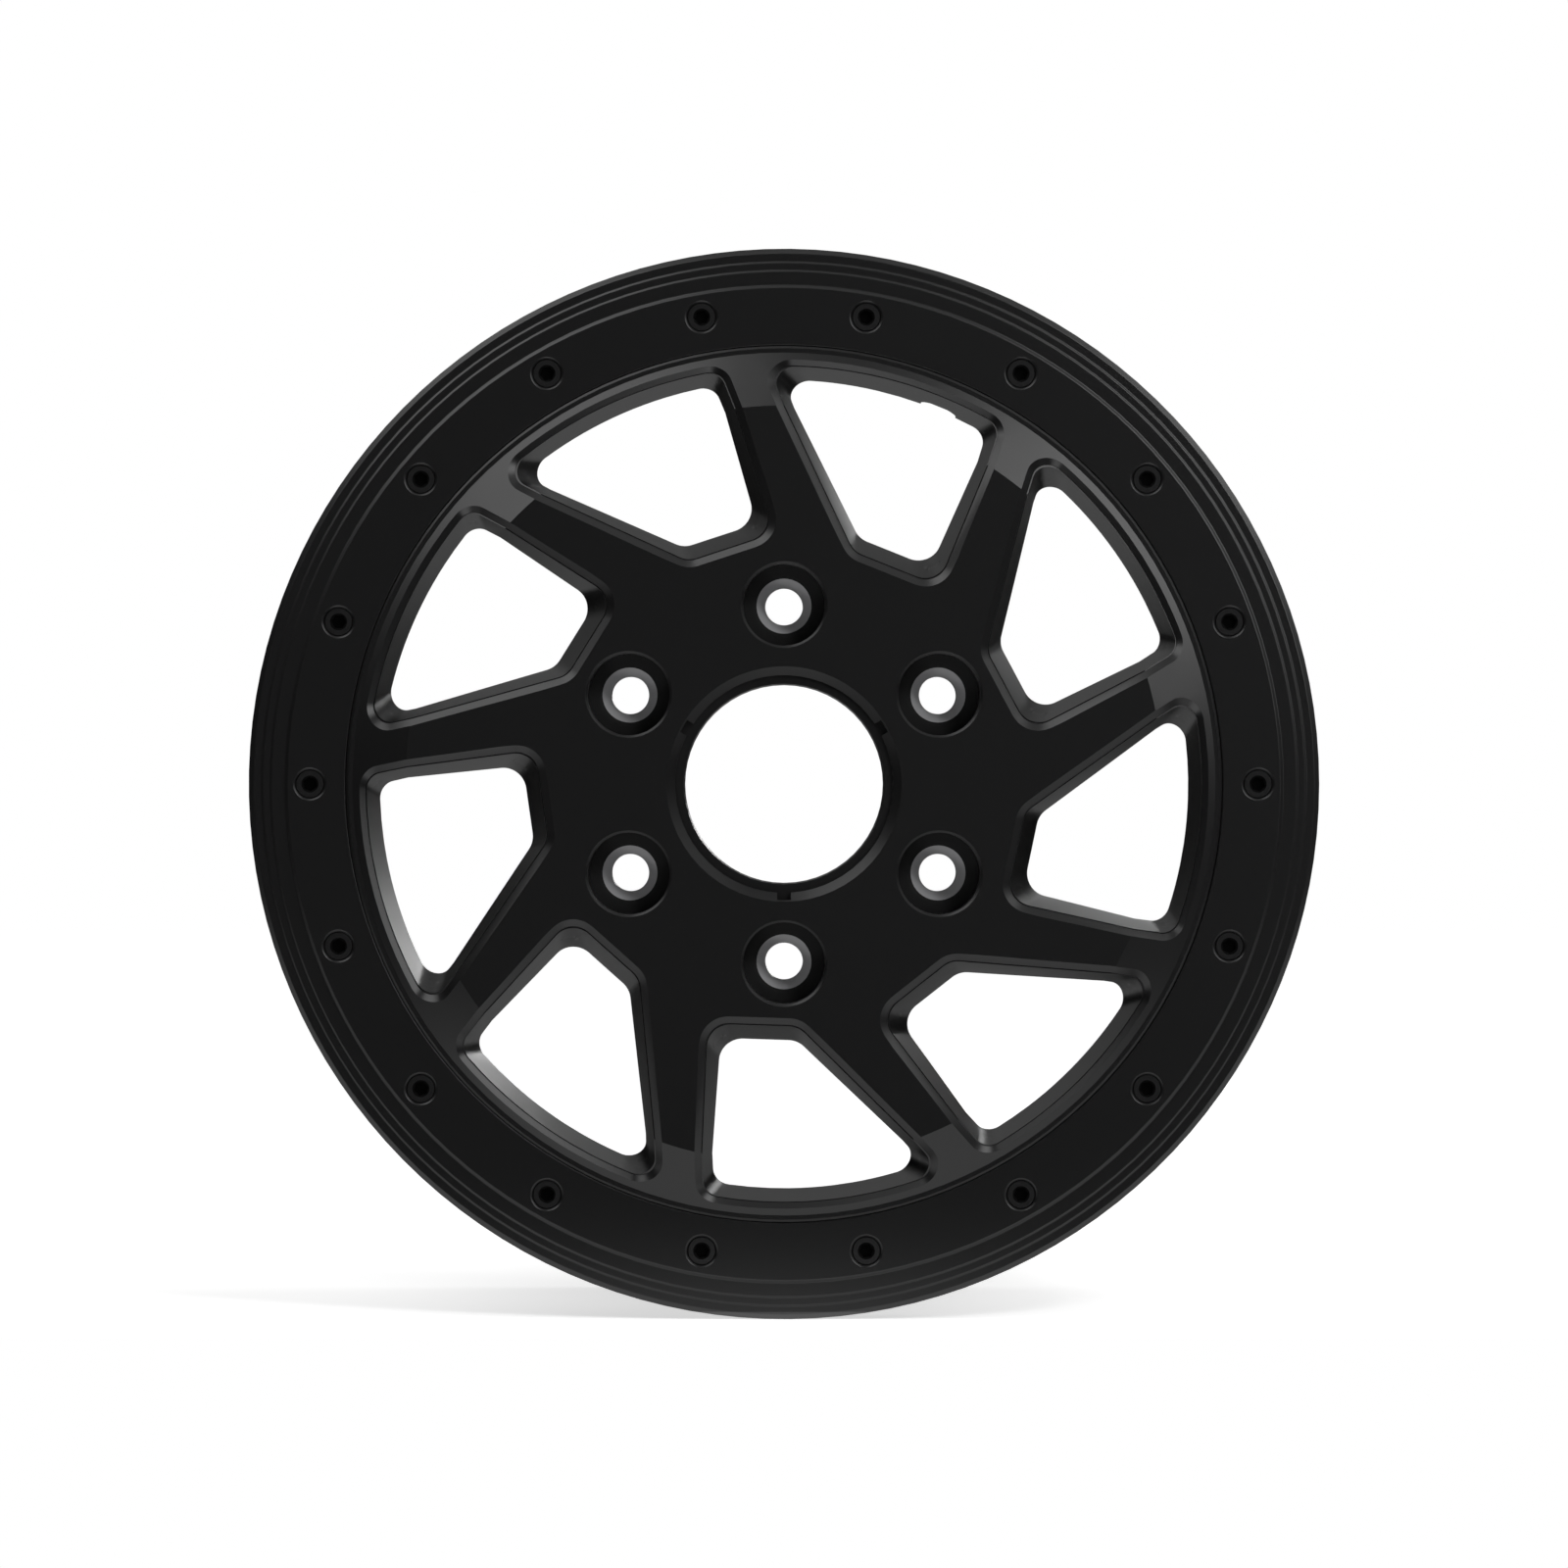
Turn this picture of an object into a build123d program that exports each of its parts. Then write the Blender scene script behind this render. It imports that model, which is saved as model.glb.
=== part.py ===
from build123d import *
import os
from math import cos, hypot, radians, sin, sqrt, tan

os.makedirs("parts", exist_ok=True)

# Beadlock wheel: a cast core, a ring that clamps the tyre's outer bead, and the screws that hold the ring.
# The wheel turns about Y and its face looks towards -Y. The origin is the centre of the mounting pad.
# Heights are measured outboard from the mounting pad, so a height of 10 lies at Y = -10.
# Angles are measured anticlockwise from +X, looking at the face.

# Rim
bead_seat_diameter = 380.2
rim_width = 177.8
seat_taper = 5.0
seat_length = 19.4
heel_bevel = 3.0
hump_rise = 2.0
hump_length = 7.0
hump_back_drop = 4.0
hump_back_length = 10.0
flange_rise = 17.5
flange_width = 11.5
flange_bevel = 2.5
barrel_wall = 4.8
barrel_draft = 2.0
well_depth = 21.6
well_width = 40.0

# Outer bead's channel, between the core's clamp flange and the ring
clamp_height = 25.4
bead_gap = 14.5
channel_bevel = 2.0
clamp_flange_rise = 15.4
clamp_flange_thickness = 6.5
clamp_flange_bevel = 1.5
well_wall_rise = 8.0

# Shoulder that centres the ring
shelf_width = 18.9
pilot_chamfer = 0.9
pilot_ledge = 1.7
pilot_clearance = 0.2

# Hub
hub_bore_diameter = 78.1
bore_chamfer = 1.5
face_height = 51.0
cap_ledge = 3.35
cap_seat_depth = 5.0
cap_chamfer = 3.4
cap_notch_count = 3
cap_notch_width = 5.3
cap_notch_depth = 2.8
pad_edge = 2.2
pad_step = 3.0
pad_step_width = 4.0
pad_pocket_diameter = 20.0
pad_pocket_depth = 9.0

# Lug seats
lug_count = 6
lug_start = 30.0
lug_circle_diameter = 139.7
lug_hole_diameter = 14.8
lug_seat_diameter = 22.4
lug_seat_angle = 60.0
lug_pocket_diameter = 32.0
lug_pocket_depth = 28.0
lug_pocket_chamfer = 0.9
lug_seat_round = 2.0

# Spokes and windows: each window has a leading and a trailing side, a foot by the hub and an outer arc
window_count = 9
window_draft = 6.6
foot_draft = 9.0
window_chamfer = 2.3
window_ledge = 0.45
window_ledge_depth = 2.8
window_ledge_land = 0.1
lead_angle = 25.4
lead_offset = 62.65
trail_angle = -22.5
trail_offset = 26.3
foot_angle = 68.2
foot_margin = 5.3
window_rim = 6.2
window_corner = 9.0
window_tip = 6.5
ramp_width = 23.9
spoke_end_height = 19.5
spoke_back_bevel = 14.0
spoke_wall = 7.0
spoke_skin = 22.0
spoke_pocket_margin = 8.0
spoke_pocket_corner = 5.5

# Valve hole, drilled from inside the barrel, with a sunk seat that bites into a window's outer wall
valve_angle = 67.6
valve_hole_diameter = 11.5
valve_seat_diameter = 15.0
valve_seat_depth = 18.0
valve_seat_inset = 1.1
valve_tilt = 30.0

# Ring
ring_thickness = 12.0
ring_overhang = 19.45
ring_land_edge = 3.95
ring_step = 1.2
ring_rib_step = 0.7
ring_band_width = 5.17
ring_rib_width = 2.68
ring_bevel = 2.0
ring_inner_chamfer = 0.4
ring_back_bevel = 0.9

# Ring screws
bolt_count = 18
bolt_inset = 4.75
bolt_diameter = 6.0
bolt_length = 20.0
bolt_hole_clearance = 0.3
thread_clearance = 0.1
thread_runout = 1.5
head_diameter = 10.9
head_height = 4.0
head_clearance = 0.2
socket_width = 5.0
socket_depth = 3.0
counterbore_depth = 4.7
counterbore_chamfer = 0.75

# Radii and heights that follow from the sizes above
bead_seat_radius = bead_seat_diameter / 2
pilot_radius = bead_seat_radius - shelf_width
ring_radius = bead_seat_radius + ring_overhang
bolt_circle_radius = bead_seat_radius - bolt_inset
ramp_radius = pilot_radius - ramp_width
well_radius = bead_seat_radius - well_depth
hub_bore_radius = hub_bore_diameter / 2
cap_seat_radius = hub_bore_radius + cap_ledge
lug_circle_radius = lug_circle_diameter / 2
lug_pocket_radius = lug_pocket_diameter / 2
pad_radius = lug_circle_radius + lug_pocket_radius + pad_edge
foot_offset = pad_radius + foot_margin
window_radius = pilot_radius - window_rim

ring_face_height = clamp_height + ring_thickness
pilot_height = ring_face_height + pilot_chamfer
cap_floor_height = face_height - cap_seat_depth
lug_floor_height = face_height - lug_pocket_depth
clamp_flange_height = clamp_height - bead_gap
clamp_flange_back = clamp_flange_height - clamp_flange_thickness
well_start = clamp_flange_back - well_wall_rise
well_end = well_start - well_width
flange_height = clamp_height - rim_width
rim_end = flange_height - flange_width
seat_height = ring_face_height - counterbore_depth

# The wheel seen in section: radius across, height up.
section_plane = Plane(origin=(0, 0, 0), x_dir=(1, 0, 0), z_dir=(0, 0, -1))
face_plane = Plane.XZ


def wheel_section(corners):
    """A closed section, given as (radius, height, corner bevel) all the way round it."""
    with BuildSketch(section_plane) as section:
        with BuildLine():
            Polyline(*[(radius, height) for radius, height, _ in corners], close=True)
        make_face()
        for radius, height, bevel in corners:
            if bevel:
                chamfer(section.vertices().sort_by_distance((radius, height))[0], bevel)
    return section.sketch


def crossing(angle_a, offset_a, angle_b, offset_b):
    """Where two lines meet, each given by its normal's angle and its distance from the axis."""
    a, b = radians(angle_a), radians(angle_b)
    spread = sin(b - a)
    return (
        (offset_a * sin(b) - offset_b * sin(a)) / spread,
        (offset_b * cos(a) - offset_a * cos(b)) / spread,
    )


def circle_crossing(angle, offset, radius):
    """Where a line meets a circle about the axis, on the side that lies anticlockwise of its normal."""
    a = radians(angle)
    along = sqrt(radius**2 - offset**2)
    return (offset * cos(a) - along * sin(a), offset * sin(a) + along * cos(a))


def window_outline(height, ledge):
    """One window's outline at a height, drawn in on every side by a ledge and the draft of its walls."""
    depth = face_height - height
    spread = ledge + depth * tan(radians(window_draft))
    lead = lead_offset + spread
    trail = trail_offset - spread
    foot = foot_offset + ledge + depth * tan(radians(foot_draft))
    outer = window_radius - spread
    foot_lead = crossing(foot_angle, foot, lead_angle, lead)
    foot_trail = crossing(foot_angle, foot, trail_angle, trail)
    outer_lead = circle_crossing(lead_angle, lead, outer)
    outer_trail = circle_crossing(trail_angle, trail, outer)
    with BuildSketch(Plane.XY.offset(height)) as outline:
        with BuildLine():
            Polyline(outer_lead, foot_lead, foot_trail, outer_trail)
            RadiusArc(outer_trail, outer_lead, -outer)
        make_face()
        for corner, round_size in (
            (outer_lead, window_tip),
            (foot_lead, window_corner),
            (foot_trail, window_corner),
            (outer_trail, window_tip),
        ):
            fillet(outline.vertices().sort_by_distance(corner)[0], round_size)
    return outline.sketch


# One window's opening, in a frame of its own with Z outboard
with BuildPart() as window_cutter:
    loft(
        [window_outline(-pad_step, window_ledge), window_outline(face_height, window_ledge)],
        ruled=True,
    )

# The wider recess at its rim, down to a narrow ledge that follows the spoke face and the ramp
ramp_end_radius = pilot_radius - pilot_chamfer - pilot_ledge
with BuildPart() as window_recess:
    loft([window_outline(spoke_end_height, 0), window_outline(face_height, 0)], ruled=True)
    with BuildSketch(Plane.XZ):
        with BuildLine():
            Polyline(
                (0, 0),
                (0, face_height - window_ledge_depth),
                (ramp_radius, face_height - window_ledge_depth),
                (ramp_end_radius, pilot_height - window_ledge_depth),
                (ramp_end_radius, 0),
                close=True,
            )
        make_face()
    revolve(axis=Axis.Z, mode=Mode.SUBTRACT)

# The pocket in the back of one spoke, which leaves a wall of even thickness beside each window
spread_at_pad = face_height * tan(radians(window_draft))
pocket_trail = trail_offset - spread_at_pad + spoke_wall
pocket_lead = lead_offset + spread_at_pad - spoke_wall
spoke_pitch = 360 / window_count
spoke_angle = (trail_angle + lead_angle - spoke_pitch) / 2 + 90
pocket_start = pad_radius
pocket_end = ramp_radius - spoke_pocket_margin
pocket_corners = [
    crossing(spoke_angle, pocket_start, trail_angle, pocket_trail),
    crossing(spoke_angle, pocket_start, lead_angle - spoke_pitch, pocket_lead),
    crossing(spoke_angle, pocket_end, lead_angle - spoke_pitch, pocket_lead),
    crossing(spoke_angle, pocket_end, trail_angle, pocket_trail),
]

with BuildPart() as spoke_pocket:
    with BuildSketch(Plane.XY) as pocket:
        with BuildLine():
            Polyline(*pocket_corners, close=True)
        make_face()
        fillet(pocket.vertices(), spoke_pocket_corner)
    extrude(amount=face_height - spoke_skin, taper=window_draft)

# Cast core: hub, spokes, ring shoulder, clamp flange, drop-centre barrel, inboard bead seat and flange
toe_radius = bead_seat_radius - seat_length * tan(radians(seat_taper))
toe_height = flange_height + seat_length
hump_radius = toe_radius + hump_rise
hump_height = toe_height + hump_length
hump_back_radius = hump_radius - hump_back_drop
hump_back_height = hump_height + hump_back_length
flange_radius = bead_seat_radius + flange_rise
clamp_flange_radius = bead_seat_radius + clamp_flange_rise
barrel_back_radius = well_radius - barrel_wall
barrel_front_radius = barrel_back_radius - (spoke_end_height - well_end) * tan(radians(barrel_draft))

core_section = wheel_section(
    [
        (hub_bore_radius, bore_chamfer, 0),
        (hub_bore_radius, cap_floor_height, 0),
        (cap_seat_radius, cap_floor_height, 0),
        (cap_seat_radius, face_height - cap_chamfer, 0),
        (cap_seat_radius + cap_chamfer, face_height, 0),
        (ramp_radius, face_height, 0),
        (ramp_end_radius, pilot_height, 0),
        (pilot_radius - pilot_chamfer, pilot_height, 0),
        (pilot_radius, ring_face_height, 0),
        (pilot_radius, clamp_height, 0),
        (bead_seat_radius, clamp_height, 0),
        (bead_seat_radius, clamp_flange_height, channel_bevel),
        (clamp_flange_radius, clamp_flange_height, clamp_flange_bevel),
        (clamp_flange_radius, clamp_flange_back, clamp_flange_bevel),
        (bead_seat_radius, clamp_flange_back, 0),
        (well_radius, well_start, 0),
        (well_radius, well_end, 0),
        (hump_back_radius, hump_back_height, 0),
        (hump_radius, hump_height, 0),
        (toe_radius, toe_height, 0),
        (bead_seat_radius, flange_height, heel_bevel),
        (flange_radius, flange_height, flange_bevel),
        (flange_radius, rim_end, flange_bevel),
        (bead_seat_radius - barrel_wall, rim_end, 0),
        (hump_back_radius - barrel_wall, hump_back_height, 0),
        (barrel_back_radius, well_end, 0),
        (barrel_front_radius, spoke_end_height, spoke_back_bevel),
        (pad_radius + pad_step_width, pad_step, 0),
        (pad_radius, 0, 0),
        (hub_bore_radius + bore_chamfer, 0, 0),
    ]
)

ramp_slope = (face_height - pilot_height) / (ramp_end_radius - ramp_radius)

# Square to a steep ramp there is less wall above the ledge, and the rim's chamfer stays within it
ledge_wall = window_ledge_depth / hypot(1, ramp_slope)
rim_chamfer = min(window_chamfer, ledge_wall - window_ledge_land)

# The valve hole's seat, level with the clamp flange and square to a line that leans towards the face
valve_direction = radians(valve_angle)
valve_lean = radians(valve_tilt)
valve_seat_radius = well_radius - valve_seat_inset
valve_outward = Vector(cos(valve_direction), 0, sin(valve_direction))
valve_axis = valve_outward * -cos(valve_lean) + Vector(0, -1, 0) * sin(valve_lean)
valve_plane = Plane(
    origin=valve_outward * valve_seat_radius + Vector(0, -clamp_flange_back, 0),
    z_dir=valve_axis,
)


def on_window_rim(edge):
    """True for the edges where a window's walls meet the spoke face or the ramp."""
    reach = [hypot(point.X, point.Z) for point in (edge @ 0, edge @ 0.5, edge @ 1)]
    inside = foot_offset - window_chamfer < reach[1] < window_radius
    crease = max(reach) - min(reach) < 0.001 and abs(reach[1] - ramp_radius) < 0.001
    drop = max(0, reach[1] - ramp_radius) * ramp_slope
    return inside and not crease and abs((edge @ 0.5).Y + face_height - drop) < 0.001


with BuildPart(face_plane) as wheel_core:
    revolve(core_section, axis=Axis.Y)
    with PolarLocations(0, window_count):
        add(window_cutter.part, mode=Mode.SUBTRACT)
        add(window_recess.part, mode=Mode.SUBTRACT)
        add(spoke_pocket.part, mode=Mode.SUBTRACT)
    chamfer(wheel_core.edges().filter_by(on_window_rim), rim_chamfer)

    # Notches for a centre cap's tongues
    with BuildSketch(face_plane.offset(cap_floor_height)):
        with PolarLocations(cap_seat_radius, cap_notch_count, start_angle=lug_start):
            Rectangle(2 * cap_notch_depth, cap_notch_width)
    extrude(amount=cap_seat_depth, mode=Mode.SUBTRACT)

    # Lug pockets with conical nut seats, and shallow pockets between them in the mounting pad
    with Locations((0, 0, face_height)):
        with PolarLocations(lug_circle_radius, lug_count, start_angle=lug_start):
            Hole(lug_pocket_radius, depth=lug_pocket_depth)
    rounds = wheel_core.edges().filter_by(GeomType.CIRCLE).group_by(Axis.Y)[0]
    pocket_rims = rounds.filter_by(lambda edge: abs(edge.radius - lug_pocket_radius) < 0.001)
    chamfer(pocket_rims, lug_pocket_chamfer)
    with Locations((0, 0, lug_floor_height)):
        with PolarLocations(lug_circle_radius, lug_count, start_angle=lug_start):
            CounterSinkHole(
                lug_hole_diameter / 2,
                lug_seat_diameter / 2,
                counter_sink_angle=lug_seat_angle,
            )
    rounds = wheel_core.edges().filter_by(GeomType.CIRCLE)
    floor_rounds = rounds.filter_by_position(Axis.Y, -lug_floor_height, -lug_floor_height)
    seat_rims = floor_rounds.filter_by(lambda edge: abs(edge.radius - lug_seat_diameter / 2) < 0.001)
    fillet(seat_rims, lug_seat_round)
    with BuildSketch(face_plane):
        with PolarLocations(lug_circle_radius, lug_count, start_angle=lug_start + 180 / lug_count):
            Circle(pad_pocket_diameter / 2)
    extrude(amount=pad_pocket_depth, mode=Mode.SUBTRACT)

    # Tapped holes for the ring's screws
    with Locations((0, 0, clamp_height)):
        with PolarLocations(bolt_circle_radius, bolt_count):
            Hole(
                bolt_diameter / 2 + thread_clearance,
                depth=clamp_height - seat_height + bolt_length + thread_runout,
            )

    # Valve hole and its spot-faced seat
    with BuildSketch(valve_plane):
        Circle(valve_seat_diameter / 2)
    extrude(amount=valve_seat_depth, mode=Mode.SUBTRACT)
    with BuildSketch(valve_plane):
        Circle(valve_hole_diameter / 2)
    extrude(amount=-well_depth, mode=Mode.SUBTRACT)
wheel_core.part.label = "wheel_core"
export_step(wheel_core.part, "parts/wheel_core.step")

# Beadlock ring, whose outer edge steps down to a bevel
ring_bore_radius = pilot_radius + pilot_clearance
land_radius = bead_seat_radius + ring_land_edge
band_start = land_radius + ring_step
band_height = ring_face_height - ring_step
band_end = band_start + ring_band_width
rib_start = band_end + ring_rib_step
rib_height = band_height - ring_rib_step
rib_end = rib_start + ring_rib_width
lip_start = rib_end + ring_rib_step
lip_height = rib_height - ring_rib_step

ring_section = wheel_section(
    [
        (ring_bore_radius, clamp_height, 0),
        (ring_bore_radius, ring_face_height - ring_inner_chamfer, 0),
        (ring_bore_radius + ring_inner_chamfer, ring_face_height, 0),
        (land_radius, ring_face_height, 0),
        (band_start, band_height, 0),
        (band_end, band_height, 0),
        (rib_start, rib_height, 0),
        (rib_end, rib_height, 0),
        (lip_start, lip_height, 0),
        (ring_radius - ring_bevel, lip_height, 0),
        (ring_radius, lip_height - ring_bevel, 0),
        (ring_radius, clamp_height, ring_back_bevel),
    ]
)
counterbore_radius = head_diameter / 2 + head_clearance

with BuildPart(face_plane) as beadlock_ring:
    revolve(ring_section, axis=Axis.Y)
    with Locations((0, 0, ring_face_height)):
        with PolarLocations(bolt_circle_radius, bolt_count):
            CounterBoreHole(
                bolt_diameter / 2 + bolt_hole_clearance,
                counterbore_radius,
                counterbore_depth,
            )
    rounds = beadlock_ring.edges().filter_by(GeomType.CIRCLE).group_by(Axis.Y)[0]
    hole_rims = rounds.filter_by(lambda edge: abs(edge.radius - counterbore_radius) < 0.001)
    chamfer(hole_rims, counterbore_chamfer)
beadlock_ring.part.label = "beadlock_ring"
export_step(beadlock_ring.part, "parts/beadlock_ring.step")

# One low-head cap screw, with the underside of its head at its origin and its head up
with BuildPart() as screw:
    with BuildSketch():
        Circle(head_diameter / 2)
    extrude(amount=head_height)
    with BuildSketch():
        Circle(bolt_diameter / 2)
    extrude(amount=-bolt_length)
    with BuildSketch(Plane.XY.offset(head_height)):
        RegularPolygon(socket_width / 2, 6, major_radius=False)
    extrude(amount=-socket_depth, mode=Mode.SUBTRACT)

# The screws in the ring's counterbores
with BuildPart(face_plane) as ring_bolts:
    with Locations((0, 0, seat_height)):
        with PolarLocations(bolt_circle_radius, bolt_count):
            add(screw.part)
ring_bolts.part.label = "ring_bolts"
export_step(ring_bolts.part, "parts/ring_bolts.step")
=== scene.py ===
import math

import bmesh
import bpy
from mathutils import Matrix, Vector


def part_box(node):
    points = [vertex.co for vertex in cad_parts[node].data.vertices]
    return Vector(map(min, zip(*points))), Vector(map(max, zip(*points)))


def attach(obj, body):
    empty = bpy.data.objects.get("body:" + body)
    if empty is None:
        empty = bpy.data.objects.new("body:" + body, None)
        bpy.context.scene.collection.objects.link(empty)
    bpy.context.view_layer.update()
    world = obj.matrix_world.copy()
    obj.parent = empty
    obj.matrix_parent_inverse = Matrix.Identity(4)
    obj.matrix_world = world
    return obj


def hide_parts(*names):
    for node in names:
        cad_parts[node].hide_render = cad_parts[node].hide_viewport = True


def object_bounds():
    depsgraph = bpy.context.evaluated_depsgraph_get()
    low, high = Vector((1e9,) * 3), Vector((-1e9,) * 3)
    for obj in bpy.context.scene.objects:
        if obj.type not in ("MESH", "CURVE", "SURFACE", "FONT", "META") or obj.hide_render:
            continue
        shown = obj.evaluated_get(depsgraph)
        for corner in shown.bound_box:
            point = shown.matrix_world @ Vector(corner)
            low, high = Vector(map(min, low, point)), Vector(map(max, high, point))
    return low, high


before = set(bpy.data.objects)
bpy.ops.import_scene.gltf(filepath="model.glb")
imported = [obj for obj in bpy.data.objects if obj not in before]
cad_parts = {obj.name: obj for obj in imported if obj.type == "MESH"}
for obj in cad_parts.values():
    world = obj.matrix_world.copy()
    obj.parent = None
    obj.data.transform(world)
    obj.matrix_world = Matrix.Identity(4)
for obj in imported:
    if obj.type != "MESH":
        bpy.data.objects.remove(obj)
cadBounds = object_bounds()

scene = bpy.context.scene
scene.view_settings.view_transform = "Standard"
print("frame loaded:", ", ".join(sorted(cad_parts)))

plainWhite = (1.0, 1.0, 1.0, 1.0)
quarterTurn = math.radians(90)


# small helpers for node trees and meshes
def addNode(tree, kind, **settings):
    node = tree.nodes.new(kind)
    for name, value in settings.items():
        setattr(node, name, value)
    return node


def feed(tree, socket, value):
    # a number or vector goes on the socket itself, another node's output is linked
    if isinstance(value, bpy.types.NodeSocket):
        tree.links.new(value, socket)
    else:
        socket.default_value = value


def shadeSmooth(work, sharp):
    # edges that turn by the sharp angle or more stay crisp
    for edge in work.edges:
        edge.smooth = edge.calc_face_angle(0.0) < math.radians(sharp)
    for face in work.faces:
        face.smooth = True


# finishes: a black powder coat with a faint orange peel, painted lighter and duller on the lug pockets'
# floors as painted light against their shade, bare turned nut seats painted light grey, partly as painted
# reflection, and black oxide on the screws, with their sockets painted near black as painted shade
peelDetail = 2.0
powderCoat = {
    "colour": (0.005, 0.005, 0.0052, 1.0),
    "roughness": 0.36,
    "specular": 0.95,
    "peelScale": 900.0,
    "peelDepth": 0.00002,
    "peelStrength": 0.12,
}
# painted light: the pocket floors get a lighter, duller colour that stands in for light the deep pockets
# shade away
paintedPocketLight = dict(powderCoat, colour=(0.018, 0.018, 0.0182, 1.0), roughness=0.6, specular=0.3)
# the nut seats as bare turned metal, with a light grey that is partly painted reflection, lit by the fill
# lamps deep in the pockets
turnedSeatAndSheen = {
    "colour": (0.5, 0.5, 0.51, 1.0),
    "roughness": 0.5,
    "specular": 0.5,
    "peelScale": 1500.0,
    "peelDepth": 0.00001,
    "peelStrength": 0.1,
}
blackOxide = {
    "colour": (0.006, 0.006, 0.0062, 1.0),
    "roughness": 0.4,
    "specular": 0.8,
    "peelScale": 2500.0,
    "peelDepth": 0.00001,
    "peelStrength": 0.1,
}
# painted shade: the sockets' near-black colour stands in for the shade deep in the hex holes
socketShadeLook = dict(blackOxide, colour=(0.0012, 0.0012, 0.0012, 1.0), roughness=0.7, specular=0.1)


def makeCoating(name, look):
    material = bpy.data.materials.new(name)
    material.use_nodes = True
    tree = material.node_tree
    shader = tree.nodes["Principled BSDF"]
    shader.inputs["Base Color"].default_value = look["colour"]
    shader.inputs["Roughness"].default_value = look["roughness"]
    shader.inputs["Specular IOR Level"].default_value = look["specular"]
    place = addNode(tree, "ShaderNodeTexCoord")
    peel = addNode(tree, "ShaderNodeTexNoise")
    feed(tree, peel.inputs["Vector"], place.outputs["Object"])
    feed(tree, peel.inputs["Scale"], look["peelScale"])
    feed(tree, peel.inputs["Detail"], peelDetail)
    bump = addNode(tree, "ShaderNodeBump")
    feed(tree, bump.inputs["Strength"], look["peelStrength"])
    feed(tree, bump.inputs["Distance"], look["peelDepth"])
    feed(tree, bump.inputs["Height"], peel.outputs["Fac"])
    feed(tree, shader.inputs["Normal"], bump.outputs["Normal"])
    return material


coreCoat = makeCoating("coreCoat", powderCoat)
ringCoat = makeCoating("ringCoat", powderCoat)
pocketLitCoat = makeCoating("pocketLitCoat", paintedPocketLight)
seatMetalAndSheen = makeCoating("seatMetalAndSheen", turnedSeatAndSheen)
screwOxide = makeCoating("screwOxide", blackOxide)
socketShadePaint = makeCoating("socketShadePaint", socketShadeLook)
print("coatings made")


# core and ring: the solids' own forms, welded, with the edges that a coat rounds over
# lengths are in metres and angles in degrees
weldDistance = 0.000002
flatAngle = 0.06
coreFinish = {"node": "wheel_core", "slot": "core_coating", "edge": 0.0004, "segments": 2, "sharp": 22.0}
ringFinish = {"node": "beadlock_ring", "slot": "ring_coating", "edge": 0.00025, "segments": 2, "sharp": 22.0}


def weldedCopy(finish, name, material):
    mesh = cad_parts[finish["node"]].data.copy()
    mesh.name = name
    work = bmesh.new()
    work.from_mesh(mesh)
    bmesh.ops.remove_doubles(work, verts=work.verts[:], dist=weldDistance)
    bmesh.ops.dissolve_limit(
        work, angle_limit=math.radians(flatAngle), verts=work.verts[:], edges=work.edges[:], delimit=set()
    )
    shadeSmooth(work, finish["sharp"])
    for face in work.faces:
        face.material_index = 0
    work.to_mesh(mesh)
    work.free()
    mesh.materials.clear()
    mesh.materials.append(material)
    piece = bpy.data.objects.new(name, mesh)
    scene.collection.objects.link(piece)
    rounding = piece.modifiers.new("edgeRounding", "BEVEL")
    rounding.width = finish["edge"]
    rounding.segments = finish["segments"]
    rounding.limit_method = "ANGLE"
    rounding.angle_limit = math.radians(finish["sharp"])
    rounding.harden_normals = True
    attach(piece, "root")
    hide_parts(finish["node"])
    return piece


# lug pockets: the cones at their foot are left bare and painted light grey, partly as painted reflection,
# and their floors are painted lighter, as painted light against the pockets' shade
lugHoles = {"count": 6, "start": 30.0, "circle": 0.06985}
nutSeats = {"inner": 0.0071, "outer": 0.0112, "lean": (50.0, 70.0)}
pocketFloors = {"inner": 0.0071, "outer": 0.01605, "lean": (0.0, 50.0)}


def holeCentres(holes):
    turns = [math.radians(holes["start"] + 360.0 / holes["count"] * k) for k in range(holes["count"])]
    return [(holes["circle"] * math.cos(turn), holes["circle"] * math.sin(turn)) for turn in turns]


def finishFaces(piece, holes, patch, material):
    # the faces round each hole that lie between two radii and lean this far away from the front
    mesh = piece.data
    mesh.materials.append(material)
    slot = len(mesh.materials) - 1
    centres = holeCentres(holes)
    leastLean, mostLean = patch["lean"]
    found = 0
    for face in mesh.polygons:
        lean = math.degrees(math.acos(max(-1.0, min(1.0, -face.normal.y))))
        if not leastLean <= lean < mostLean:
            continue
        corners = [mesh.vertices[k].co for k in face.vertices]
        for across, up in centres:
            reach = [math.hypot(corner.x - across, corner.z - up) for corner in corners]
            if patch["inner"] < min(reach) and max(reach) < patch["outer"]:
                face.material_index = slot
                found += 1
    return found


wheelCore = weldedCopy(coreFinish, "wheelCore", coreCoat)
beadlockRing = weldedCopy(ringFinish, "beadlockRing", ringCoat)
# the nut seats get the light grey of bare metal and painted reflection, and the pocket floors get the
# painted light colour
print("nut seats bared:", finishFaces(wheelCore, lugHoles, nutSeats, seatMetalAndSheen), "faces")
print("pocket floors coated:", finishFaces(wheelCore, lugHoles, pocketFloors, pocketLitCoat), "faces")
print("core and ring dressed")


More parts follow.
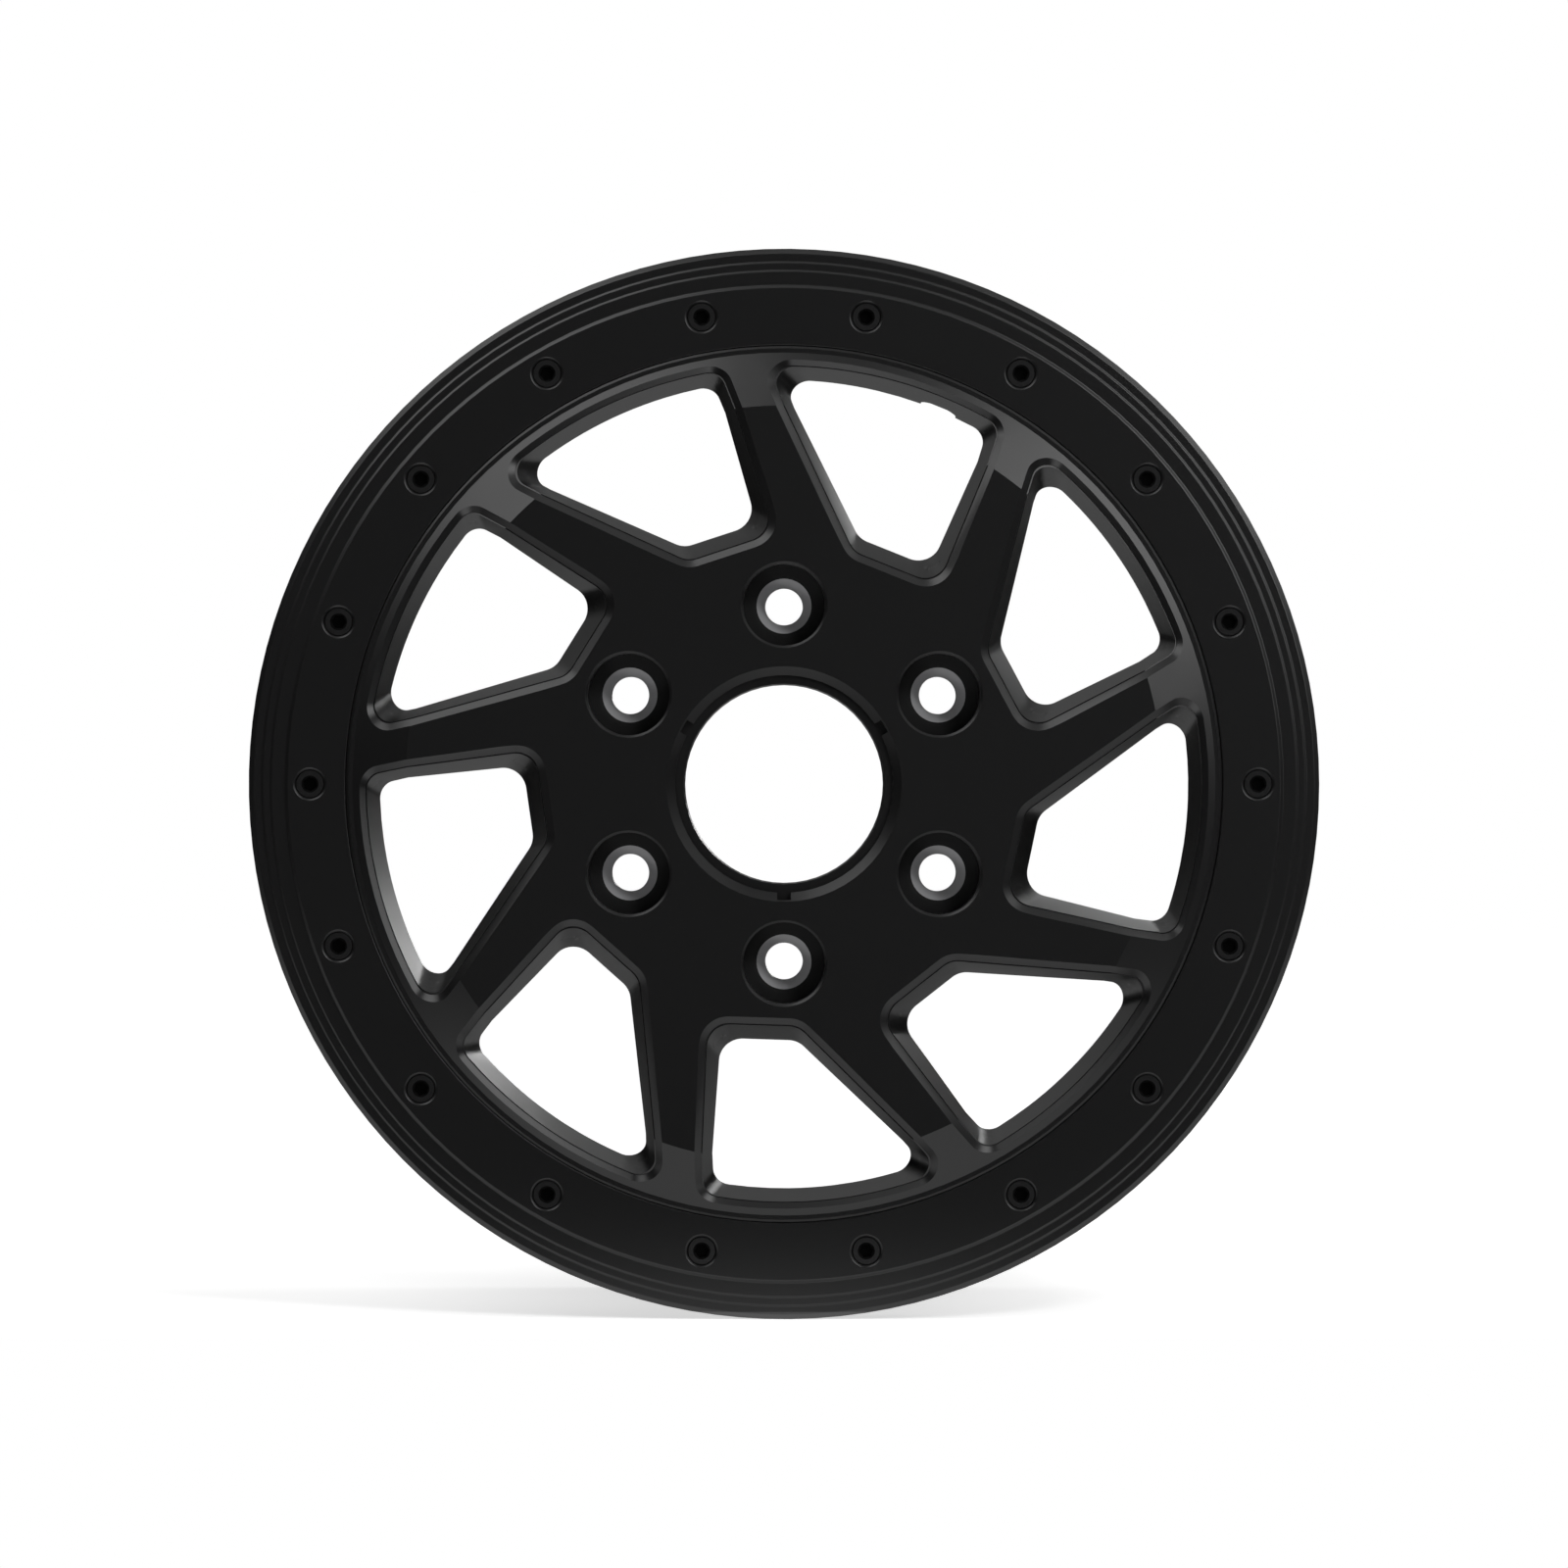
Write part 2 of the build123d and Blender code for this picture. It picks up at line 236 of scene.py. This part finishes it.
# ring screws: one low-head cap screw drawn as a chain of extrusions, set round the ring by nodes
screwLow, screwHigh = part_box("ring_bolts")
screwSizes = {
    "count": 18,
    "headRadius": 0.00545,
    "headHeight": 0.004,
    "headBevel": 0.0003,
    "shankRadius": 0.003,
    "tipBevel": 0.0008,
    "socketFlat": 0.0025,
    "socketDepth": 0.003,
    "socketBevel": 0.00045,
    "sides": 48,
    "turnSeed": 4,
    "tipMerge": 0.000001,
    "sharp": 25.0,
}
screwSizes["circleRadius"] = screwHigh.x - screwSizes["headRadius"]
screwSizes["shankLength"] = screwHigh.y - screwLow.y - screwSizes["headHeight"]
screwSizes["seatHeight"] = -screwLow.y - screwSizes["headHeight"]
screwSizes["coating"] = screwOxide
screwSizes["socketCoating"] = socketShadePaint
hexagonSixth = math.radians(60)


def screwTree():
    tree = bpy.data.node_groups.new("ringScrews", "GeometryNodeTree")
    tree.interface.new_socket("Geometry", in_out="OUTPUT", socket_type="NodeSocketGeometry")
    named = (
        ("Screw Count", "NodeSocketInt", "count"),
        ("Circle Radius", "NodeSocketFloat", "circleRadius"),
        ("Seat Height", "NodeSocketFloat", "seatHeight"),
        ("Head Radius", "NodeSocketFloat", "headRadius"),
        ("Head Height", "NodeSocketFloat", "headHeight"),
        ("Head Bevel", "NodeSocketFloat", "headBevel"),
        ("Shank Radius", "NodeSocketFloat", "shankRadius"),
        ("Shank Length", "NodeSocketFloat", "shankLength"),
        ("Tip Bevel", "NodeSocketFloat", "tipBevel"),
        ("Tip Merge", "NodeSocketFloat", "tipMerge"),
        ("Socket Flat", "NodeSocketFloat", "socketFlat"),
        ("Socket Depth", "NodeSocketFloat", "socketDepth"),
        ("Socket Bevel", "NodeSocketFloat", "socketBevel"),
        ("Sides", "NodeSocketInt", "sides"),
        ("Turn Seed", "NodeSocketInt", "turnSeed"),
        ("Head Coating", "NodeSocketMaterial", "coating"),
        ("Socket Coating", "NodeSocketMaterial", "socketCoating"),
    )
    sockets = [
        (tree.interface.new_socket(label, in_out="INPUT", socket_type=kind), key)
        for label, kind, key in named
    ]
    source = addNode(tree, "NodeGroupInput").outputs

    def calc(operation, a, b):
        node = addNode(tree, "ShaderNodeMath", operation=operation)
        feed(tree, node.inputs[0], a)
        feed(tree, node.inputs[1], b)
        return node.outputs[0]

    def either(a, b):
        node = addNode(tree, "FunctionNodeBooleanMath", operation="OR")
        feed(tree, node.inputs[0], a)
        feed(tree, node.inputs[1], b)
        return node.outputs[0]

    def vector(**parts):
        node = addNode(tree, "ShaderNodeCombineXYZ")
        for axis, value in parts.items():
            feed(tree, node.inputs[axis], value)
        return node.outputs[0]

    def grow(shape, rise, ratio):
        # lifts the top face and scales it, so each call turns one more band of the screw
        lift = addNode(tree, "GeometryNodeExtrudeMesh", mode="FACES")
        feed(tree, lift.inputs["Mesh"], shape[0])
        if shape[1] is not None:
            feed(tree, lift.inputs["Selection"], shape[1])
        feed(tree, lift.inputs["Offset"], vector(Z=rise))
        feed(tree, lift.inputs["Individual"], False)
        scale = addNode(tree, "GeometryNodeScaleElements", domain="FACE")
        feed(tree, scale.inputs["Geometry"], lift.outputs["Mesh"])
        feed(tree, scale.inputs["Selection"], lift.outputs["Top"])
        feed(tree, scale.inputs["Scale"], ratio)
        return scale.outputs["Geometry"], lift.outputs["Top"], lift.outputs["Side"]

    tipRadius = calc("SUBTRACT", source["Shank Radius"], source["Tip Bevel"])
    headTop = calc("SUBTRACT", source["Head Radius"], source["Head Bevel"])
    socketCorner = calc("DIVIDE", source["Socket Flat"], math.cos(hexagonSixth / 2))
    mouth = calc("ADD", socketCorner, source["Socket Bevel"])

    tip = addNode(tree, "GeometryNodeMeshCircle", fill_type="NGON")
    feed(tree, tip.inputs["Vertices"], source["Sides"])
    feed(tree, tip.inputs["Radius"], tipRadius)
    lowered = addNode(tree, "GeometryNodeTransform")
    feed(tree, lowered.inputs["Geometry"], tip.outputs[0])
    feed(tree, lowered.inputs["Translation"], vector(Z=calc("MULTIPLY", source["Shank Length"], -1.0)))

    # from the tip: its bevel, the shank, the head's underside, side, bevel and top, and the socket's mouth
    shape = (lowered.outputs[0], None)
    shape = grow(shape, source["Tip Bevel"], calc("DIVIDE", source["Shank Radius"], tipRadius))
    shape = grow(shape, calc("SUBTRACT", source["Shank Length"], source["Tip Bevel"]), 1.0)
    shape = grow(shape, 0.0, calc("DIVIDE", source["Head Radius"], source["Shank Radius"]))
    shape = grow(shape, calc("SUBTRACT", source["Head Height"], source["Head Bevel"]), 1.0)
    shape = grow(shape, source["Head Bevel"], calc("DIVIDE", headTop, source["Head Radius"]))
    shape = grow(shape, 0.0, calc("DIVIDE", mouth, headTop))
    shape = grow(shape, calc("MULTIPLY", source["Socket Bevel"], -1.0), calc("DIVIDE", socketCorner, mouth))
    mouthCone = shape[2]

    # the round mouth becomes a hexagon: each point moves in to the nearest flat
    where = addNode(tree, "GeometryNodeInputPosition").outputs[0]
    split = addNode(tree, "ShaderNodeSeparateXYZ")
    feed(tree, split.inputs[0], where)
    turn = calc("ARCTAN2", split.outputs["Y"], split.outputs["X"])
    offFlat = calc("SUBTRACT", calc("FLOORED_MODULO", turn, hexagonSixth), hexagonSixth / 2)
    reach = calc("DIVIDE", source["Socket Flat"], calc("COSINE", offFlat, 0.0))
    pull = calc("DIVIDE", reach, socketCorner)
    flatten = addNode(tree, "ShaderNodeVectorMath", operation="MULTIPLY")
    feed(tree, flatten.inputs[0], where)
    feed(tree, flatten.inputs[1], vector(X=pull, Y=pull, Z=1.0))
    hexagon = addNode(tree, "GeometryNodeSetPosition")
    feed(tree, hexagon.inputs["Geometry"], shape[0])
    feed(tree, hexagon.inputs["Selection"], shape[1])
    feed(tree, hexagon.inputs["Position"], flatten.outputs[0])
    sink = calc("SUBTRACT", source["Socket Bevel"], source["Socket Depth"])
    shape = grow((hexagon.outputs[0], shape[1]), sink, 1.0)
    inSocket = either(mouthCone, either(shape[1], shape[2]))

    # the first lift leaves the tip open, so the starting face closes it again
    both = addNode(tree, "GeometryNodeJoinGeometry")
    feed(tree, both.inputs[0], shape[0])
    feed(tree, both.inputs[0], lowered.outputs[0])
    closed = addNode(tree, "GeometryNodeMergeByDistance")
    feed(tree, closed.inputs["Geometry"], both.outputs[0])
    feed(tree, closed.inputs["Distance"], source["Tip Merge"])

    # one screw on each point of the ring's circle, its socket turned at random
    circle = addNode(tree, "GeometryNodeMeshCircle")
    feed(tree, circle.inputs["Vertices"], source["Screw Count"])
    feed(tree, circle.inputs["Radius"], source["Circle Radius"])
    spin = addNode(tree, "FunctionNodeRandomValue", data_type="FLOAT")
    feed(tree, spin.inputs[2], 0.0)
    feed(tree, spin.inputs[3], hexagonSixth)
    feed(tree, spin.inputs["Seed"], source["Turn Seed"])
    placed = addNode(tree, "GeometryNodeInstanceOnPoints")
    feed(tree, placed.inputs["Points"], circle.outputs[0])
    feed(tree, placed.inputs["Instance"], closed.outputs[0])
    feed(tree, placed.inputs["Rotation"], vector(Z=spin.outputs[1]))

    # the screws are drawn with their heads up, and the wheel's face looks along -Y
    seated = addNode(tree, "GeometryNodeTransform")
    feed(tree, seated.inputs["Geometry"], placed.outputs[0])
    feed(tree, seated.inputs["Translation"], vector(Y=calc("MULTIPLY", source["Seat Height"], -1.0)))
    feed(tree, seated.inputs["Rotation"], (quarterTurn, 0.0, 0.0))
    real = addNode(tree, "GeometryNodeRealizeInstances")
    feed(tree, real.inputs[0], seated.outputs[0])
    painted = addNode(tree, "GeometryNodeSetMaterial")
    feed(tree, painted.inputs["Geometry"], real.outputs[0])
    feed(tree, painted.inputs["Material"], source["Head Coating"])
    # painted shade: the socket faces get the near-black colour
    socketShaded = addNode(tree, "GeometryNodeSetMaterial")
    feed(tree, socketShaded.inputs["Geometry"], painted.outputs[0])
    feed(tree, socketShaded.inputs["Selection"], inSocket)
    feed(tree, socketShaded.inputs["Material"], source["Socket Coating"])
    result = addNode(tree, "NodeGroupOutput")
    feed(tree, result.inputs[0], socketShaded.outputs[0])
    return tree, sockets


def buildScrews(sizes):
    tree, sockets = screwTree()
    draft = bpy.data.objects.new("screwDraft", bpy.data.meshes.new("screwDraft"))
    scene.collection.objects.link(draft)
    nodes = draft.modifiers.new("ringScrews", "NODES")
    nodes.node_group = tree
    for socket, key in sockets:
        nodes[socket.identifier] = sizes[key]
    evaluated = draft.evaluated_get(bpy.context.evaluated_depsgraph_get())
    mesh = bpy.data.meshes.new_from_object(evaluated)
    bpy.data.objects.remove(draft)
    work = bmesh.new()
    work.from_mesh(mesh)
    shadeSmooth(work, sizes["sharp"])
    bmesh.ops.recalc_face_normals(work, faces=work.faces[:])
    work.to_mesh(mesh)
    work.free()
    mesh.name = "ringScrews"
    piece = bpy.data.objects.new("ringScrews", mesh)
    scene.collection.objects.link(piece)
    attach(piece, "root")
    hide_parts("ring_bolts")
    return piece


ringScrews = buildScrews(screwSizes)
print("screws set:", len(ringScrews.data.polygons), "faces")


# studio: white floor and background, dark flags that shape the reflections, and soft lamps
# floorNear and floorFar each pair a distance from the wheel with the glow added there
studio = {
    "floorFront": -0.13,
    "floorBack": 8.0,
    "floorSide": 6.0,
    "floorColour": (0.9, 0.9, 0.9, 1.0),
    "floorNear": (1.0, 0.62),
    "floorFar": (4.0, 0.82),
    "ambient": (0.2, 0.2, 0.2, 1.0),
    "flagColour": (0.004, 0.004, 0.004, 1.0),
    "flagLift": 0.003,
    "glowLift": 0.001,
}


def whiteForRays(tree, kinds, lit, white):
    # the named kinds of ray meet plain white, other rays meet the lit surface
    paths = addNode(tree, "ShaderNodeLightPath")
    share = paths.outputs[kinds[0]]
    for kind in kinds[1:]:
        larger = addNode(tree, "ShaderNodeMath", operation="MAXIMUM")
        feed(tree, larger.inputs[0], share)
        feed(tree, larger.inputs[1], paths.outputs[kind])
        share = larger.outputs[0]
    mix = addNode(tree, "ShaderNodeMixShader")
    feed(tree, mix.inputs[0], share)
    feed(tree, mix.inputs[1], lit)
    feed(tree, mix.inputs[2], white)
    return mix.outputs[0]


def makeWorld():
    world = bpy.data.worlds.new("studioWhite")
    world.use_nodes = True
    tree = world.node_tree
    tree.nodes.clear()
    ambient = addNode(tree, "ShaderNodeBackground")
    feed(tree, ambient.inputs["Color"], studio["ambient"])
    white = addNode(tree, "ShaderNodeBackground")
    feed(tree, white.inputs["Color"], plainWhite)
    rays = ("Is Camera Ray", "Is Glossy Ray", "Is Transmission Ray")
    output = addNode(tree, "ShaderNodeOutputWorld")
    feed(tree, output.inputs[0], whiteForRays(tree, rays, ambient.outputs[0], white.outputs[0]))
    scene.world = world


def makePlane(name, corners, material):
    mesh = bpy.data.meshes.new(name)
    mesh.from_pydata(corners, [], [(0, 1, 2, 3)])
    mesh.materials.append(material)
    plane = bpy.data.objects.new(name, mesh)
    scene.collection.objects.link(plane)
    return plane


def makeFloor():
    material = bpy.data.materials.new("floorWhite")
    material.use_nodes = True
    tree = material.node_tree
    tree.nodes.clear()
    matte = addNode(tree, "ShaderNodeBsdfDiffuse")
    feed(tree, matte.inputs["Color"], studio["floorColour"])
    # the camera sees the lit floor with a glow added to it, more where the lamps are far off,
    # so that only the wheel's shadow is less than white
    place = addNode(tree, "ShaderNodeTexCoord")
    reach = addNode(tree, "ShaderNodeVectorMath", operation="LENGTH")
    feed(tree, reach.inputs[0], place.outputs["Object"])
    even = addNode(tree, "ShaderNodeMapRange")
    feed(tree, even.inputs["Value"], reach.outputs["Value"])
    feed(tree, even.inputs["From Min"], studio["floorNear"][0])
    feed(tree, even.inputs["From Max"], studio["floorFar"][0])
    feed(tree, even.inputs["To Min"], studio["floorNear"][1])
    feed(tree, even.inputs["To Max"], studio["floorFar"][1])
    paths = addNode(tree, "ShaderNodeLightPath")
    lift = addNode(tree, "ShaderNodeMath", operation="MULTIPLY")
    feed(tree, lift.inputs[0], paths.outputs["Is Camera Ray"])
    feed(tree, lift.inputs[1], even.outputs["Result"])
    glow = addNode(tree, "ShaderNodeEmission")
    feed(tree, glow.inputs["Strength"], lift.outputs[0])
    lit = addNode(tree, "ShaderNodeAddShader")
    feed(tree, lit.inputs[0], matte.outputs[0])
    feed(tree, lit.inputs[1], glow.outputs[0])
    white = addNode(tree, "ShaderNodeEmission")
    rays = ("Is Glossy Ray", "Is Transmission Ray")
    output = addNode(tree, "ShaderNodeOutputMaterial")
    feed(tree, output.inputs[0], whiteForRays(tree, rays, lit.outputs[0], white.outputs[0]))
    side, front, back = studio["floorSide"], studio["floorFront"], studio["floorBack"]
    low = cadBounds[0].z
    corners = [(-side, front, low), (side, front, low), (side, back, low), (-side, back, low)]
    makePlane("floor", corners, material)


# flags: a dark tent round the wheel with a few dim glows in it, unseen by the camera
# each has its name, two opposite corners and how brightly it glows
tent = 2.8
panel = 2.7
footing = cadBounds[0].z + studio["flagLift"]
glowFooting = footing + studio["glowLift"]
stripFront = studio["floorFront"]
stripBack = 0.12
stripSide = 0.7
cardSide = 0.32
cardFront = 0.2
cardBack = 1.0
cardFoot = -0.2
flags = (
    ("frontFlag", (-tent, -tent, -tent), (tent, -tent, tent), 0.0),
    ("leftFlag", (-tent, -tent, -tent), (-tent, tent, tent), 0.0),
    ("rightFlag", (tent, -tent, -tent), (tent, tent, tent), 0.0),
    ("topFlag", (-tent, -tent, tent), (tent, tent, tent), 0.0),
    ("lowFlag", (-tent, -tent, -tent), (tent, tent, -tent), 0.0),
    ("backFlag", (-tent, tent, -0.2), (tent, tent, tent), 0.02),
    ("backGlow", (-0.9, panel, 0.25), (0.9, panel, 1.6), 0.24),
    ("topGlow", (-0.2, -0.6, panel), (2.4, 0.6, panel), 0.45),
    ("rightGlow", (panel, -0.5, 0.3), (panel, 0.5, 1.6), 0.2),
    ("backFloor", (-tent, stripBack, footing), (tent, tent, footing), 0.02),
    ("floorGlow", (-0.45, 0.25, glowFooting), (0.45, tent, glowFooting), 0.26),
    ("nearFloor", (-stripSide, stripFront, footing), (stripSide, stripBack, footing), 0.5),
    ("leftFloor", (-tent, stripFront, footing), (-stripSide, stripBack, footing), 0.05),
    ("rightFloor", (stripSide, stripFront, footing), (tent, stripBack, footing), 0.05),
    ("leftCard", (-cardSide, cardFront, cardFoot), (-cardSide, cardBack, 0.08), 0.0),
    ("rightCard", (cardSide, cardFront, cardFoot), (cardSide, cardBack, -0.02), 0.0),
)


def makeFlag(name, low, high, glow):
    material = bpy.data.materials.new(name)
    material.use_nodes = True
    shader = material.node_tree.nodes["Principled BSDF"]
    shader.inputs["Base Color"].default_value = studio["flagColour"]
    shader.inputs["Roughness"].default_value = 1.0
    shader.inputs["Specular IOR Level"].default_value = 0.0
    shader.inputs["Emission Color"].default_value = plainWhite
    shader.inputs["Emission Strength"].default_value = glow
    if low[0] == high[0]:
        corners = [low, (low[0], high[1], low[2]), high, (low[0], low[1], high[2])]
    else:
        corners = [low, (high[0], low[1], low[2]), high, (low[0], high[1], high[2])]
    flag = makePlane(name, corners, material)
    flag.visible_camera = False
    flag.visible_shadow = False
    flag.visible_diffuse = False


# lamps: name, clock angle on the face, angle off the face's axis, distance, size, watts, seen in the gloss
lamps = (
    ("keyLamp", 38.0, 54.0, 2.5, 2.0, 22.0, True),
    ("sideLamp", 38.0, 105.0, 2.5, 1.4, 8.0, True),
    ("leftLamp", 122.0, 73.0, 2.5, 2.3, 20.0, True),
    ("lowLamp", 264.0, 57.0, 2.5, 2.0, 11.0, True),
    ("rearLamp", 32.0, 168.8, 2.4, 0.26, 1.3, True),
    ("fillLamp", 270.0, 8.0, 2.5, 0.8, 10.0, False),
    ("highFill", 52.0, 36.0, 2.5, 0.4, 14.0, False),
    ("lowFill", 248.0, 35.0, 2.5, 0.4, 8.0, False),
)


def makeLamp(name, clock, lean, distance, size, watts, inGloss):
    light = bpy.data.lights.new(name, "AREA")
    light.shape = "DISK"
    light.size = size
    light.energy = watts
    lamp = bpy.data.objects.new(name, light)
    around, off = math.radians(clock), math.radians(lean)
    toward = Vector((math.cos(around) * math.sin(off), -math.cos(off), math.sin(around) * math.sin(off)))
    spot = toward * distance
    lamp.location = spot
    lamp.rotation_mode = "QUATERNION"
    lamp.rotation_quaternion = (-spot).to_track_quat("-Z", "Y")
    scene.collection.objects.link(lamp)
    lamp.visible_camera = False
    lamp.visible_glossy = inGloss


makeWorld()
makeFloor()
for flag in flags:
    makeFlag(*flag)
for lamp in lamps:
    makeLamp(*lamp)
print("studio lit")


# camera: square to the face and on its axis
# the ring's radius and the image's width are in the photo's pixels
view = {"fromFace": 3.0, "ringRadius": 546.0, "image": 1600.0, "sensor": 36.0, "farthest": 50.0}
ringLow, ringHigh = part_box("beadlock_ring")
eyeline = cadBounds[0].y - view["fromFace"]
ringDepth = (ringLow.y + ringHigh.y) / 2 - eyeline
focal = view["ringRadius"] * ringDepth / ringHigh.x / view["image"] * view["sensor"]
cameraData = bpy.data.cameras.new("faceCamera")
cameraData.sensor_width = view["sensor"]
cameraData.lens = focal
cameraData.clip_end = view["farthest"]
camera = bpy.data.objects.new("faceCamera", cameraData)
camera.location = (0.0, eyeline, 0.0)
camera.rotation_euler = (quarterTurn, 0.0, 0.0)
scene.collection.objects.link(camera)
scene.camera = camera
print("camera set, lens %.1f mm" % focal)
